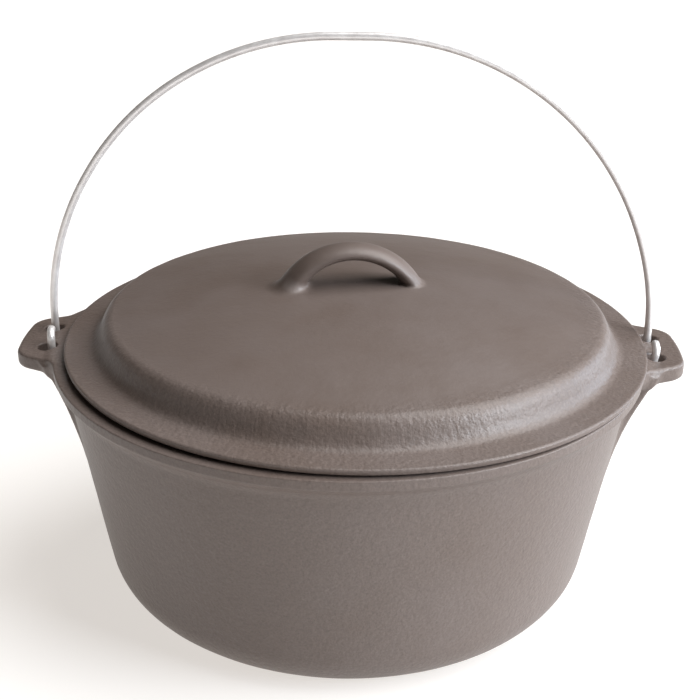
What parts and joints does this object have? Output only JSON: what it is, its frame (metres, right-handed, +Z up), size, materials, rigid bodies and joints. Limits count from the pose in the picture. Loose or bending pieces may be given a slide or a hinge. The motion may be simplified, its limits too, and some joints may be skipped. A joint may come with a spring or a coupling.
{
  "type": "dutch oven",
  "caption": "Round cast iron dutch oven with a flat base, two drilled ears, a loose domed lid with a cast loop handle, and a swinging wire bail.",
  "frame": {"origin": "centre of the flat base, on the surface that the pot stands on", "axes": "+Z up through the lid's handle; +X towards one ear, along the line of the two bail pivots; -Y is the front, the side that the bail folds down to"},
  "size_m": [0.338, 0.299, 0.2852],
  "materials": {
    "cast_iron": "sand-cast, unglazed, thinly oiled",
    "bail_wire": "bright zinc-plated drawn wire"
  },
  "bodies": {
    "pot": {"pot": "cast_iron"},
    "lid": {"lid": "cast_iron"},
    "bail": {"bail": "bail_wire"}
  },
  "joints": [
    {"name": "bail_swing", "type": "hinge", "parent": "pot", "child": "bail", "pos_m": [0, 0, 0.1247], "axis": [1, 0, 0], "range_deg": [-20, 95]},
    {"name": "lid_lift", "type": "slide", "parent": "pot", "child": "lid", "axis": [0, -0.7071, 0.7071], "range_m": [0, 0.3]}
  ]
}
